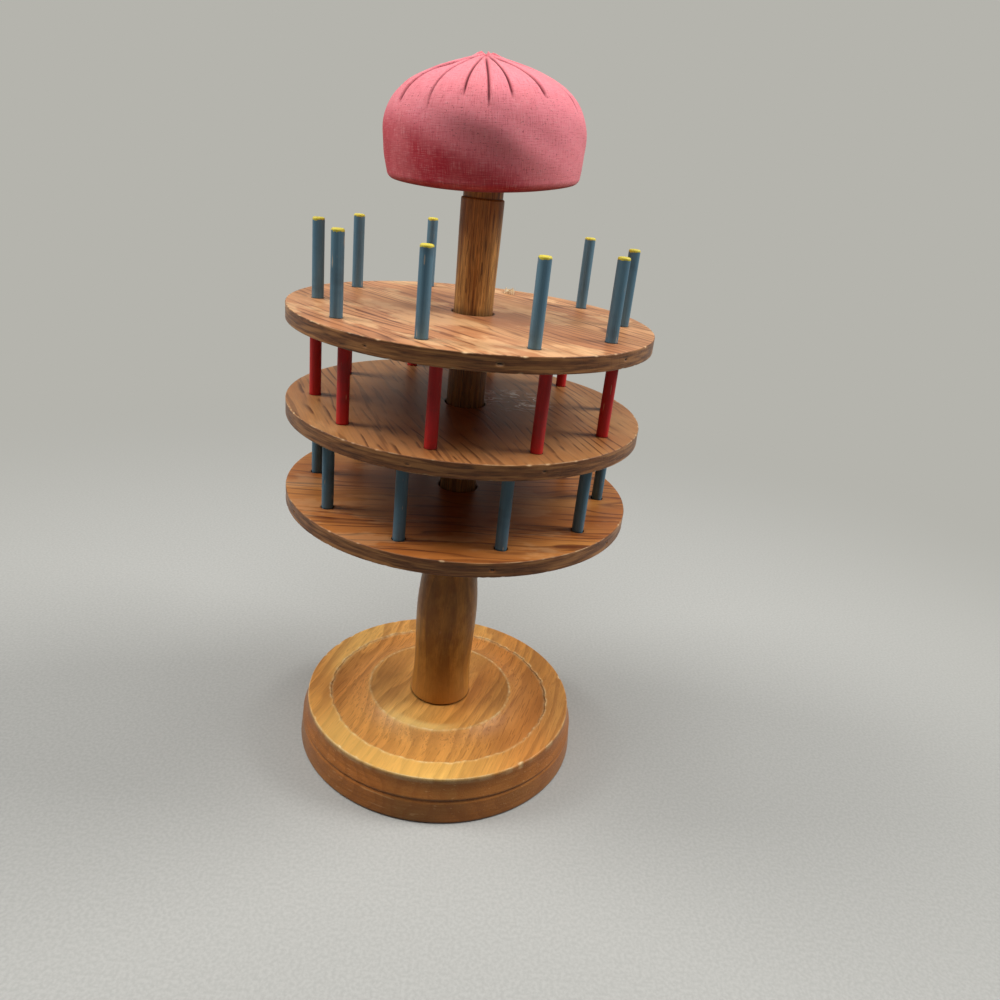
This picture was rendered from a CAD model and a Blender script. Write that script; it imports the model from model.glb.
"""Thread rack on a turned stand: the finish of every surface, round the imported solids.

Lengths are metres where no comment says mm, and angles in tables are degrees. Z is up, and the tiers turn
about the Z axis.
"""
import math

import bpy
import numpy as np
from mathutils import Matrix, Vector


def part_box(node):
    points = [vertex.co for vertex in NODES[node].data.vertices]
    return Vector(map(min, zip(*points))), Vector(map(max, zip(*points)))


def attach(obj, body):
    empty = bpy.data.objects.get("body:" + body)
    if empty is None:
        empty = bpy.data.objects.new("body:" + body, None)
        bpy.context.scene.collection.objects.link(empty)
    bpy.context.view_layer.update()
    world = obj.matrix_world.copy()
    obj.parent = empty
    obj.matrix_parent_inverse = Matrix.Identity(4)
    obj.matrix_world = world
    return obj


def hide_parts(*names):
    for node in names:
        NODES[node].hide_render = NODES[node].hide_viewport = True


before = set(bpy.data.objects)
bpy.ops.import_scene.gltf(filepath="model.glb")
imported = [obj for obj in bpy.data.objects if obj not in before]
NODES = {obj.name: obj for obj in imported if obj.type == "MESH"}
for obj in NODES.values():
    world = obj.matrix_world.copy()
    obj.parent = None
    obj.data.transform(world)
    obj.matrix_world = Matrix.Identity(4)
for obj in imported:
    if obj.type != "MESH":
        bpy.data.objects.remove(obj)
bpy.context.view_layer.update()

MM = 0.001
TIERS = ("bottom", "middle", "top")


# Numbers read from the solids


def box(node):
    """The lowest and highest corners of a solid."""
    low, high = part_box(node)
    return np.array(low), np.array(high)


def first_peg(tier):
    """The direction of a tier's first peg."""
    x, y, _ = np.mean(box(f"{tier}_peg_1"), axis=0)
    return math.degrees(math.atan2(y, x))


DISC_LOW = {tier: box(f"{tier}_disc")[0][2] for tier in TIERS}
DISC_TOP = {tier: box(f"{tier}_disc")[1][2] for tier in TIERS}
DISC_RADIUS = box("top_disc")[1][0]
DISC_THICK = DISC_TOP["top"] - DISC_LOW["top"]
GLUE_AT = (0.29, 0.71)
HOLE_RADIUS = 9.0 * MM
PEG_TOP = box("top_peg_1")[1][2]
PEG_MIDDLE = np.mean(box("bottom_peg_1"), axis=0)
PEG_RADIUS = (box("bottom_peg_1")[1][1] - box("bottom_peg_1")[0][1]) / 2
PEG_RING = float(np.hypot(PEG_MIDDLE[0], PEG_MIDDLE[1]))
PEG_SEAT = 4.8 * MM
PEGS_PER_TIER = 10
TURN = {tier: first_peg(tier) for tier in TIERS}
BASE_TOP = box("base")[1][2]
RIM_TOP = BASE_TOP - 1.8 * MM
SEAT = BASE_TOP - 2.0 * MM
RIM_RADIUS = box("base")[1][0] - 3.2 * MM
RIM_INNER = 55.0 * MM
RIDGE_RADIUS = 35.9 * MM
QUIRK_Z = 11.9 * MM
COLUMN_FOOT = 15.7 * MM
BOARD_LOW, BOARD_HIGH = box("cushion_board")
COVER_LOW, COVER_HIGH = box("cushion_cover")
SEAM_Z = COVER_LOW[2] - 3.2 * MM


# Node wiring


class Flow:
    """A value in a node tree. Arithmetic on it adds the Math nodes that work the result out."""

    def __init__(self, tree, socket):
        self.tree, self.socket = tree, socket

    def __add__(self, other):
        return calc("ADD", self, other)

    def __sub__(self, other):
        return calc("SUBTRACT", self, other)

    def __rsub__(self, other):
        return calc("SUBTRACT", other, self)

    def __mul__(self, other):
        return calc("MULTIPLY", self, other)

    def __truediv__(self, other):
        return calc("DIVIDE", self, other)


def linear(red, green, blue):
    """A colour written as it shows on a screen, 0 to 255, as the linear values that a shader takes."""
    def channel(value):
        share = value / 255
        return share / 12.92 if share <= 0.04045 else ((share + 0.055) / 1.055) ** 2.4
    return (channel(red), channel(green), channel(blue), 1.0)


def feed(node, inputs):
    """Sets or links a node's inputs."""
    for key, value in inputs.items():
        if isinstance(value, Flow):
            value.tree.links.new(value.socket, node.inputs[key])
        else:
            node.inputs[key].default_value = value


def wire(tree, kind, inputs=None, out=0, **settings):
    """Adds a node, sets or links its inputs, and returns one of its outputs."""
    made = tree.nodes.new(kind)
    for key, value in settings.items():
        setattr(made, key, value)
    feed(made, inputs or {})
    return Flow(tree, made.outputs[out])


def tree_of(*values):
    """The node tree that some of the given values are in."""
    return next(value.tree for value in values if isinstance(value, Flow))


def calc(operation, *values, clamp=False):
    """A Math node."""
    inputs = dict(enumerate(values))
    return wire(tree_of(*values), "ShaderNodeMath", inputs, operation=operation, use_clamp=clamp)


def most(first, *others):
    """The greatest of two or more values."""
    for other in others:
        first = calc("MAXIMUM", first, other)
    return first


def vector(x, y, z=0.0):
    """A vector from its three parts."""
    return wire(tree_of(x, y, z), "ShaderNodeCombineXYZ", {0: x, 1: y, 2: z})


def parts(place):
    """The three parts of a vector."""
    split = place.tree.nodes.new("ShaderNodeSeparateXYZ")
    feed(split, {0: place})
    return [Flow(place.tree, part) for part in split.outputs]


def ease(value, low, high, to_low=0.0, to_high=1.0):
    """A smooth step of a value from low to high."""
    inputs = {"Value": value, "From Min": low, "From Max": high, "To Min": to_low, "To Max": to_high}
    return wire(value.tree, "ShaderNodeMapRange", inputs, interpolation_type="SMOOTHSTEP")


def band(value, middle, inner, outer, height=1.0):
    """A smooth band: height where a value lies within inner of the middle, and 0 further off than outer."""
    return ease(calc("ABSOLUTE", value - middle), inner, outer, height, 0.0)


def coats(colour, *layers):
    """A colour with tones laid over it, one after another. A layer is its share and its tone."""
    for share, tone in layers:
        colour = wire(share.tree, "ShaderNodeMix", {0: share, 6: colour, 7: tone}, out=2,
                      data_type="RGBA", clamp_result=True)
    return colour


def noise(place, scale, detail=2.0, rough=0.5):
    """A noise value round 0.5."""
    inputs = {"Vector": place, "Scale": scale, "Detail": detail, "Roughness": rough}
    return wire(place.tree, "ShaderNodeTexNoise", inputs)


def stretched(place, amounts):
    """A place scaled by its own amount along each axis."""
    return wire(place.tree, "ShaderNodeVectorMath", {0: place, 1: amounts}, operation="MULTIPLY")


def aligned(here, turn=(0, 0, 0), shift=(0, 0, 0)):
    """A place turned, so that X runs along the grain, and then shifted."""
    inputs = {"Vector": here, "Location": shift, "Rotation": [math.radians(angle) for angle in turn]}
    return wire(here.tree, "ShaderNodeMapping", inputs, vector_type="POINT")


def apart(x, y, x_at=0.0, y_at=0.0):
    """The level distance of a place from a point."""
    x, y = x - x_at, y - y_at
    return calc("SQRT", x * x + y * y)


def bump(height, strength, distance, **under):
    """A Bump node, over another one if Normal is given."""
    inputs = {"Height": height, "Strength": strength, "Distance": distance, **under}
    return wire(height.tree, "ShaderNodeBump", inputs)


def painted(here, name):
    """A value that was worked out with the mesh and kept on its points."""
    return wire(here.tree, "ShaderNodeAttribute", attribute_name=name, out=2)


def effect(name, takes, gives):
    """An empty shader node group and its inputs by name.

    It takes a Vector and the numbers in takes, where None stands for a second vector. It gives the numbers
    in gives, of which Color is a colour.
    """
    group = bpy.data.node_groups.new(name, "ShaderNodeTree")
    for label, default in {"Vector": None, **takes}.items():
        kind = "NodeSocketVector" if default is None else "NodeSocketFloat"
        socket = group.interface.new_socket(label, in_out="INPUT", socket_type=kind)
        if default is not None:
            socket.default_value = default
    for label in gives:
        kind = "NodeSocketColor" if label == "Color" else "NodeSocketFloat"
        group.interface.new_socket(label, in_out="OUTPUT", socket_type=kind)
    source = group.nodes.new("NodeGroupInput")
    return group, {label: Flow(group, source.outputs[label]) for label in ("Vector", *takes)}


def give(group, **values):
    """Links a group's outputs, and returns the group."""
    feed(group.nodes.new("NodeGroupOutput"), values)
    return group


def use(group, place, **values):
    """A group placed where its Vector comes from, as the dict of its outputs."""
    made = place.tree.nodes.new("ShaderNodeGroup")
    made.node_tree = group
    feed(made, {"Vector": place, **values})
    return {socket.name: Flow(place.tree, socket) for socket in made.outputs}


# Effects that several finishes share


BARE_WOOD = linear(238, 206, 158)
GRIME = linear(30, 17, 10)
EDGE_LIGHT, EDGE_MIDDLE, EDGE_DARK = linear(178, 124, 76), linear(134, 85, 50), linear(80, 47, 26)
GLUE_LINE = linear(58, 34, 22)


def make_growth_lines():
    """Contour lines of stretched noise added to a steady rise across the grain, as on sawn or peeled wood.

    The vector's X runs along the grain. A line darkens slowly and stops sharply, as late wood does, and
    Broken, 0 to 1, is how far it fades out here and there along its run. Patch and Cluster are slow changes
    of tone, and Cluster is where the lines are strong.
    """
    takes = {"Spacing": 0.005, "Wander": 1.5, "Length": 0.06, "Breadth": 0.014, "Fill": 0.5, "Broken": 0.0}
    group, given = effect("growth lines", takes, ("Line", "Patch", "Cluster"))
    x, y, z = parts(given["Vector"])
    along, across, deep = x / given["Length"], y / given["Breadth"], z / given["Breadth"]
    drift = noise(vector(along, across, deep), 1.0, 2.0, 0.45)
    rise = y / given["Spacing"]
    saw = calc("FRACT", drift * (given["Wander"] * 8.0) + rise)
    slow = ease(saw, 1.0 - given["Fill"], 0.90)
    stop = ease(saw, 0.93, 0.995, 1.0, 0.0)
    strokes = noise(vector(along * 6.0, rise * 0.8, deep), 1.0, 1.0, 0.5)
    faded = ease(strokes, 0.42, 0.56, 1.0, 0.0) * given["Broken"]
    patch = noise(vector(along * 0.7, across, deep), 0.8, 1.0, 0.5)
    cluster = noise(vector(along * 1.1, across * 0.8, deep + 7.3), 0.9, 1.0, 0.5)
    return give(group, Line=slow * stop * (1.0 - faded), Patch=ease(patch, 0.38, 0.62),
                Cluster=ease(cluster, 0.36, 0.60))


def drawn_out(given):
    """A place counted in strokes that are Length long, along X, and Width wide."""
    x, y, z = parts(given["Vector"])
    return vector(x / given["Length"], y / given["Width"], z / given["Width"])


def make_fibres():
    """Fine fibres and open pores. The vector's X runs along the grain, and Length and Width are a pore's."""
    group, given = effect("fibres", {"Length": 0.005, "Width": 0.0003, "Pores": 0.4}, ("Fibre", "Pore"))
    place = drawn_out(given)
    edge = 0.78 - given["Pores"] * 0.25
    return give(group, Fibre=noise(place, 0.45, 3.0, 0.6),
                Pore=ease(noise(place, 0.9, 1.0, 0.4), edge, edge + 0.06))


def make_scratches():
    """Thin broken strokes: the high spots of noise drawn out along X. Length and Width are one stroke's."""
    group, given = effect("scratches", {"Length": 0.012, "Width": 0.0003, "Cover": 0.3}, ("Stroke",))
    edge = 0.82 - given["Cover"] * 0.3
    return give(group, Stroke=ease(noise(drawn_out(given), 0.5, 1.0, 0.35), edge, edge + 0.05))


def make_peg_feet():
    """Dirt on a disc: a dark joint round the foot of each peg, a stain past it, and the hole's shaded rim.

    Turn is the first peg's direction in radians, and Joint is how far the dark joint reaches past a peg.
    """
    group, given = effect("peg feet", {"Turn": 0.0, "Joint": 0.0002}, ("Grime",))
    x, y, _ = parts(given["Vector"])
    step = 2 * math.pi / PEGS_PER_TIER
    angle = calc("ARCTAN2", y, x) - given["Turn"]
    folded = calc("FLOORED_MODULO", angle + step / 2, step) - step / 2
    reach = apart(x, y)
    feet = apart(reach * calc("COSINE", folded), reach * calc("SINE", folded), PEG_RING)
    joint = ease(feet, given["Joint"] * 0.5 + PEG_RADIUS, given["Joint"] + PEG_RADIUS, 1.0, 0.0)
    stain = ease(feet, PEG_RADIUS, PEG_RADIUS + 2.0 * MM, 0.22, 0.0)
    hole = ease(reach, HOLE_RADIUS + 0.2 * MM, HOLE_RADIUS + 1.0 * MM, 0.3, 0.0)
    return give(group, Grime=most(joint, stain, hole))


def make_face_tones():
    """Slow changes over a peeled face. The vector's X runs along the grain.

    Broad is where the wood is lighter, Gathered is where dark flames stand close, and Cream is pale patches.
    """
    group, given = effect("face tones", {}, ("Broad", "Gathered", "Cream"))
    face = given["Vector"]
    broad = noise(stretched(face, (26.0, 85.0, 60.0)), 1.0, 2.0, 0.55)
    gathered = noise(stretched(face, (22.0, 48.0, 40.0)), 1.0, 1.0, 0.5)
    cream = noise(stretched(face, (30.0, 66.0, 50.0)), 1.0, 4.0, 0.6)
    return give(group, Broad=ease(broad, 0.36, 0.62), Gathered=ease(gathered, 0.44, 0.60),
                Cream=ease(cream, 0.54, 0.62))


def make_ply_edge():
    """The plies round a disc's edge, as streaks that run with the edge, a darker core and two glue lines.

    Low is the height of the disc's underside. Side is 1 on the edge, and Streak is the streaks' relief.
    """
    group, given = effect("ply edge", {"Low": 0.0}, ("Color", "Side", "Streak"))
    x, y, z = parts(given["Vector"])
    height = (z - given["Low"]) / DISC_THICK
    streaks = noise(stretched(given["Vector"], (130.0, 130.0, 2400.0)), 1.0, 4.0, 0.65)
    slow = noise(stretched(given["Vector"], (55.0, 55.0, 620.0)), 1.0, 2.0, 0.5)
    core = ease(height, 0.27, 0.31) * ease(height, 0.69, 0.73, 1.0, 0.0)
    tone = coats(EDGE_DARK, (ease(streaks, 0.34, 0.60), EDGE_MIDDLE), (ease(slow, 0.42, 0.66), EDGE_LIGHT),
                 (core * 0.2, EDGE_DARK),
                 *((band(height, glue, 0.01, 0.035, 0.32), GLUE_LINE) for glue in GLUE_AT))
    side = ease(apart(x, y), DISC_RADIUS - 0.40 * MM, DISC_RADIUS - 0.05 * MM)
    return give(group, Color=tone, Side=side, Streak=streaks)


def make_edge_wear():
    """Edge wear broken up by fine grit. Wear is the value kept on the mesh, and Scale is the grit's."""
    group, given = effect("edge wear", {"Wear": 0.0, "Scale": 1300.0}, ("Worn", "Grit"))
    grit = noise(given["Vector"], given["Scale"], 2.5, 0.62)
    return give(group, Worn=given["Wear"] * ease(grit, 0.31, 0.53, 0.45, 1.0), Grit=grit)


def make_turning_marks():
    """Fine rings that a lathe's tool leaves round a turned side: noise drawn out round the Z axis."""
    group, given = effect("turning marks", {"Across": 30.0, "Up": 900.0}, ("Mark",))
    spread = vector(given["Across"], given["Across"], given["Up"])
    return give(group, Mark=noise(stretched(given["Vector"], spread), 1.0, 2.5, 0.56))


def make_brushed_paint():
    """Brush marks along a peg, and the grime and scuffs on its paint. Grain's X runs up the peg."""
    group, given = effect("brushed paint", {"Grain": None}, ("Brush", "Grime", "Scuff"))
    marks = use(FIBRES, given["Grain"], Length=0.02, Width=0.0006, Pores=0.2)
    grime = noise(stretched(given["Vector"], (60.0, 60.0, 90.0)), 1.0, 3.0, 0.6)
    scuffs = use(SCRATCHES, given["Grain"], Length=0.004, Width=0.0005, Cover=0.32)
    return give(group, Brush=marks["Fibre"], Grime=ease(grime, 0.50, 0.72, 0.0, 0.30), Scuff=scuffs["Stroke"])


def make_weave():
    """A plain weave of threads one Pitch apart: each thread's round back passes over and under in turn.

    Slub is the uneven thickness of single threads, long along the thread. Fleck is small dark specks.
    """
    group, given = effect("plain weave", {"Pitch": 0.00045}, ("Height", "Slub", "Fleck"))
    x, y, _ = parts(given["Vector"])
    across, along = x / given["Pitch"], y / given["Pitch"]

    def threads(side, length):
        back = calc("ABSOLUTE", calc("SINE", side * math.pi))
        over = calc("COSINE", (length + calc("FLOOR", side)) * math.pi) * 0.5 + 0.5
        return back * over

    warp_slub = noise(vector(across, along * 0.07), 0.9, 2.0, 0.7)
    weft_slub = noise(vector(across * 0.07, along), 0.9, 2.0, 0.7)
    flecks = noise(vector(across * 0.7, along * 1.1), 0.42, 2.0, 0.75)
    return give(group, Height=most(threads(across, along + 0.5), threads(along, across + 1.5)),
                Slub=(warp_slub + weft_slub) * 0.5, Fleck=ease(flecks, 0.60, 0.70))


GROWTH = make_growth_lines()
FIBRES = make_fibres()
SCRATCHES = make_scratches()
PEG_FEET = make_peg_feet()
FACE_TONES = make_face_tones()
PLY_EDGE = make_ply_edge()
EDGE_WEAR = make_edge_wear()
TURNING_MARKS = make_turning_marks()
BRUSHED_PAINT = make_brushed_paint()
WEAVE = make_weave()


# Finishes


UPRIGHT = (0, 90, 0)


def finish(name, **constants):
    """A material with a Principled shader, whose plain numbers are set on its own sockets, and the object's
    coordinates in it."""
    material = bpy.data.materials.new(name)
    material.use_nodes = True
    shader = material.node_tree.nodes["Principled BSDF"]
    feed(shader, {key.replace("_", " "): value for key, value in constants.items()})
    return material, shader, wire(material.node_tree, "ShaderNodeTexCoord", out=3)


# Each tier's wood: its light, middle, dark and red tones, its growth lines, how strong a line stays where
# they are quiet, how far flames, shelter and cream patches change it, the angle of its grain from +X, and
# the dark joint round its pegs
TIER_WOOD = {
    "top": dict(
        tones=(linear(228, 170, 118), linear(194, 136, 88), linear(112, 62, 36), linear(178, 112, 74)),
        figure=dict(Spacing=0.0042, Wander=0.85, Length=0.085, Breadth=0.020, Fill=0.42, Broken=0.35),
        quiet=0.05, flames=0.70, shelter=0.24, cream=0.45, grain=-45, joint=0.22 * MM),
    "middle": dict(
        tones=(linear(210, 154, 98), linear(188, 130, 76), linear(102, 58, 30), linear(172, 108, 60)),
        figure=dict(Spacing=0.0046, Wander=0.50, Length=0.070, Breadth=0.022, Fill=0.38, Broken=0.80),
        quiet=0.35, flames=0.55, shelter=0.50, cream=0.10, grain=-70, joint=0.22 * MM),
    "bottom": dict(
        tones=(linear(220, 150, 78), linear(198, 126, 58), linear(102, 48, 20), linear(166, 86, 34)),
        figure=dict(Spacing=0.0062, Wander=0.75, Length=0.095, Breadth=0.019, Fill=0.36, Broken=0.35),
        quiet=0.15, flames=0.60, shelter=0.55, cream=0.20, grain=5, joint=0.6 * MM),
}
STRINGS_AT = (21.7 * MM, 10.7 * MM)


def glue_strings(here):
    """Dried strings of glue round one spot: two nets of thin contour lines of noise, torn here and there."""
    x, y, _ = parts(here)
    nets = []
    for scale, shift in ((52.0, 0.0), (88.0, 3.7)):
        place = stretched(aligned(here, shift=(shift, shift, shift)), (1.0, 1.7, 0.3))
        nets.append(band(noise(place, scale, 2.0, 0.55), 0.5, 0.010, 0.025))
    patch = ease(apart(x, y, *STRINGS_AT), 8.0 * MM, 21.0 * MM, 1.0, 0.0)
    torn = ease(noise(here, 170.0, 2.0, 0.5), 0.40, 0.52)
    return most(*nets) * patch * torn


def plywood(tier):
    """Varnished three-ply: growth lines and fibres on the faces, plies and glue lines round the edge, and
    strings of glue on the middle tier."""
    wood = TIER_WOOD[tier]
    light, middle, dark, red = wood["tones"]
    material, shader, here = finish(f"{tier} plywood", Coat_Weight=0.06, Coat_Roughness=0.35,
                                    Specular_IOR_Level=0.28)
    face = aligned(here, (0, 0, -wood["grain"]), (0.013 * len(tier), 0.021, -DISC_LOW[tier]))
    x, y, _ = parts(here)
    growth = use(GROWTH, face, **wood["figure"])
    fibres = use(FIBRES, face, Length=0.006, Width=0.0003, Pores=0.3)
    flames = use(SCRATCHES, face, Length=0.022, Width=0.0014, Cover=0.70)
    tones = use(FACE_TONES, face)
    edge = use(PLY_EDGE, here, Low=DISC_LOW[tier])
    worn = use(EDGE_WEAR, here, Wear=painted(here, "wear"), Scale=1300.0)["Worn"]
    feet = use(PEG_FEET, here, Turn=math.radians(TURN[tier]), Joint=wood["joint"])
    line = growth["Line"] * ease(growth["Cluster"], 0.0, 1.0, wood["quiet"], 1.0) * 0.95

    # Nearer the middle, where the tier above keeps the light off, the wood stays browner
    sheltered = ease(apart(x, y), 20 * MM, 68 * MM, wood["shelter"], 0.0)
    colour = coats(middle, (tones["Broad"], light),
                   (ease(fibres["Fibre"], 0.34, 0.66, 0.22, 0.0), dark),
                   (growth["Patch"] * 0.55, red), (line, dark),
                   (flames["Stroke"] * tones["Gathered"] * wood["flames"], dark),
                   (tones["Cream"] * wood["cream"], linear(250, 206, 152)),
                   (sheltered, linear(112, 64, 34)), (edge["Side"], edge["Color"]))

    # Bare wood where the arrises are knocked, and dirt in the voids, round the pegs and at the hole
    colour = coats(colour, (worn * 0.95, BARE_WOOD), (painted(here, "dirt"), GRIME), (feet["Grime"], GRIME))
    rough = fibres["Fibre"] * 0.2 + 0.33
    if tier == "middle":
        strings = glue_strings(here)
        colour = coats(colour, (strings, linear(252, 246, 238)))
        rough = rough + strings * -0.12
    rough = calc("ADD", rough, worn * 0.3, clamp=True)
    relief = line * -0.5 + fibres["Fibre"] * 0.6 - fibres["Pore"] * 0.5 + edge["Side"] * edge["Streak"]
    feed(shader, {"Base Color": colour, "Roughness": rough, "Normal": bump(relief, 0.5, 0.12 * MM)})
    return material


def turned_base():
    """Satin turned wood with short open pores, tones that change from rim to cove to dish, pale torn edges
    and fine scratches round the side."""
    material, shader, here = finish("turned base wood", Coat_Weight=0.08, Coat_Roughness=0.3,
                                    Specular_IOR_Level=0.28)
    grain = aligned(here, (4, 3, -72), (0.05, 0.02, 0.01))
    x, y, z = parts(here)
    reach = apart(x, y)
    growth = use(GROWTH, grain, Spacing=0.009, Wander=0.8, Length=0.12, Breadth=0.03, Fill=0.7)
    fibres = use(FIBRES, grain, Length=0.011, Width=0.0006, Pores=0.80)
    marks = use(TURNING_MARKS, here, Across=30.0, Up=900.0)["Mark"]
    strokes = use(SCRATCHES, aligned(here, (7, -5, 20)), Length=0.02, Width=0.0005, Cover=0.45)["Stroke"]
    wear = use(EDGE_WEAR, here, Wear=painted(here, "wear"), Scale=1100.0)
    worn = wear["Worn"]
    light, middle, dark = linear(255, 206, 116), linear(240, 174, 88), linear(150, 88, 36)

    # The cove is browner and its pores are open, and the side is darker than the rim
    cove = ease(reach, RIDGE_RADIUS - 1 * MM, RIDGE_RADIUS + 3 * MM)
    cove = cove * ease(reach, RIM_INNER - 1.5 * MM, RIM_INNER, 1.0, 0.0)
    side = ease(z, RIM_TOP - 1.6 * MM, RIM_TOP - 0.5 * MM, 1.0, 0.0)
    side = side * ease(reach, RIM_RADIUS - 2.5 * MM, RIM_RADIUS - 1.5 * MM)
    colour = coats(middle, (ease(growth["Cluster"], 0.0, 1.0), light), (cove * 0.55, linear(220, 146, 72)),
                   (side * 0.88, linear(144, 90, 44)), (growth["Patch"] * 0.45, linear(226, 136, 62)),
                   (ease(fibres["Fibre"], 0.30, 0.68, 0.30, 0.0), dark), (growth["Line"] * 0.42, dark),
                   (fibres["Pore"] * (cove * 0.22 + 0.32), dark))

    # The rim is bleached golden and the ridge catches the light at the front left. The right is deeper
    bleached = ease(apart(x, y, -26 * MM, -56 * MM), 18 * MM, 66 * MM, 0.5, 0.0)
    bleached = bleached * ease(reach, RIM_INNER - 1 * MM, RIM_INNER, 0.3, 1.0) * (1.0 - side)
    crest = band(reach, RIDGE_RADIUS - 2.5 * MM, 0.5 * MM, 5 * MM)
    crest = crest * ease(apart(x, y, -9 * MM, -34 * MM), 6 * MM, 26 * MM, 0.6, 0.0)
    deeper = ease(apart(x, y, 62 * MM, -6 * MM), 10 * MM, 62 * MM, 0.30, 0.0)
    colour = coats(colour, (bleached, linear(255, 208, 112)), (crest, linear(255, 218, 136)),
                   (deeper, linear(176, 104, 48)))

    # Turning marks and scratches round the side, worn edges, and grime in the quirk, the foot and the joint
    foot = ease(z, 0.0, 1.6 * MM, 1.0, 0.0)
    joint = ease(reach, COLUMN_FOOT - 1.2 * MM, COLUMN_FOOT + 0.2 * MM, 1.0, 0.0)
    quirk = band(z, QUIRK_Z, 0.1 * MM, 1.2 * MM) * side
    colour = coats(colour, (side * ease(marks, 0.34, 0.60, 0.45, 0.0), dark),
                   (strokes * side * 0.35, linear(226, 178, 120)), (worn * 0.95, linear(255, 232, 176)),
                   (most(quirk * 0.22, foot * 0.7, joint * 0.7), linear(62, 32, 16)))
    rough = fibres["Fibre"] * 0.2 + (cove * 0.12 + 0.28)
    rough = calc("ADD", rough, worn * 0.3, clamp=True)
    relief = fibres["Pore"] * -0.9 + fibres["Fibre"] * 0.5 + worn * wear["Grit"] * 1.2 + side * marks * 0.6
    feed(shader, {"Base Color": colour, "Roughness": rough, "Normal": bump(relief, 0.6, 0.15 * MM)})
    return material


def spindle_wood():
    """Open-pored dowel: fine pale and dark streaks and pores up the Z axis, dirtier where the tiers rub."""
    material, shader, here = finish("spindle wood", Coat_Weight=0.08, Coat_Roughness=0.35,
                                    Specular_IOR_Level=0.35)
    grain = aligned(here, UPRIGHT, (0.03, 0.011, 0.017))
    fibres = use(FIBRES, grain, Length=0.009, Width=0.00028, Pores=0.95)
    streaks = use(FIBRES, grain, Length=0.028, Width=0.0009, Pores=0.2)
    light, middle, dark = linear(226, 172, 98), linear(174, 120, 58), linear(68, 38, 16)
    _, _, z = parts(here)
    rubbed = ease(z, DISC_TOP["top"], DISC_TOP["top"] + 4 * MM, 0.45, 0.0)
    seam = band(z, SEAM_Z, 0.1 * MM, 0.5 * MM, 0.35)
    colour = coats(middle, (ease(streaks["Fibre"], 0.36, 0.62), light),
                   (ease(fibres["Fibre"], 0.34, 0.64, 0.45, 0.0), dark), (fibres["Pore"] * 0.75, dark),
                   (ease(z, DISC_TOP["top"] + 20 * MM, COVER_LOW[2], 0.0, 0.45), linear(96, 54, 28)),
                   (most(rubbed, seam), linear(70, 40, 20)))
    relief = fibres["Pore"] * -1.0 + fibres["Fibre"] * 0.4
    feed(shader, {"Base Color": colour, "Roughness": fibres["Fibre"] * 0.25 + 0.34,
                  "Normal": bump(relief, 0.5, 0.10 * MM)})
    return material


def column_wood():
    """Smooth dark turned wood: faint figure up the Z axis, olive mottling, turning marks and pale scuffs."""
    material, shader, here = finish("column wood", Coat_Weight=0.12, Coat_Roughness=0.3,
                                    Specular_IOR_Level=0.25)
    grain = aligned(here, UPRIGHT, (0.02, 0.004, 0.013))
    growth = use(GROWTH, grain, Spacing=0.006, Wander=0.35, Length=0.09, Breadth=0.012, Fill=0.8)
    fibres = use(FIBRES, grain, Length=0.0035, Width=0.0003, Pores=0.35)
    scuffs = use(SCRATCHES, aligned(here, (12, 62, 30)), Length=0.008, Width=0.0016, Cover=0.30)
    turning = use(TURNING_MARKS, here, Across=25.0, Up=800.0)
    mottle = noise(stretched(here, (120.0, 120.0, 60.0)), 1.0, 4.0, 0.65)
    light, middle, dark = linear(204, 146, 68), linear(170, 112, 44), linear(98, 58, 20)
    _, _, z = parts(here)
    colour = coats(middle, (ease(mottle, 0.36, 0.64), light), (growth["Line"] * 0.35, dark),
                   (ease(fibres["Fibre"], 0.32, 0.66, 0.28, 0.0), dark), (fibres["Pore"] * 0.5, dark),
                   (scuffs["Stroke"] * 0.14, linear(206, 174, 138)),
                   (ease(z, SEAT, SEAT + 34 * MM, 0.5, 0.0), linear(216, 152, 74)),
                   (ease(z, SEAT, SEAT + 1.0 * MM, 0.7, 0.0), GRIME))
    relief = fibres["Pore"] * -0.8 + turning["Mark"] * 0.5
    feed(shader, {"Base Color": colour, "Roughness": fibres["Fibre"] * 0.18 + 0.30,
                  "Normal": bump(relief, 0.35, 0.08 * MM)})
    return material


def peg_paint(name, coat, thin, tip=None, tip_height=0.0):
    """Brushed satin paint on a dowel, thin along the brush marks, with a painted end if tip is a colour."""
    material, shader, here = finish(name, Coat_Weight=0.05, Coat_Roughness=0.3, Specular_IOR_Level=0.35)
    marks = use(BRUSHED_PAINT, here, Grain=aligned(here, UPRIGHT))
    brush = marks["Brush"]
    colour = coats(coat, (ease(brush, 0.35, 0.70, 0.0, 0.6), thin), (marks["Grime"], linear(52, 52, 50)),
                   (marks["Scuff"] * 0.45, BARE_WOOD))
    if tip is not None:
        _, _, z = parts(here)
        ragged_z = z + (noise(here, 420.0, 2.0, 0.6) * (2.0 * MM) - 1.0 * MM)
        colour = coats(colour, (ease(ragged_z, tip_height, tip_height + 0.12 * MM), tip))
    feed(shader, {"Base Color": colour, "Roughness": brush * 0.25 + 0.38,
                  "Normal": bump(brush, 0.35, 0.08 * MM)})
    return material


def raw_wood(name, light, dark):
    """Unfinished wood with its fibres broken, grain up the Z axis."""
    material, shader, here = finish(name, Specular_IOR_Level=0.3)
    fibre = use(FIBRES, aligned(here, UPRIGHT), Length=0.003, Width=0.00025, Pores=0.6)["Fibre"]
    feed(shader, {"Base Color": coats(dark, (ease(fibre, 0.3, 0.7), light)), "Roughness": fibre * 0.1 + 0.8,
                  "Normal": bump(fibre, 0.8, 0.2 * MM)})
    return material


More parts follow.
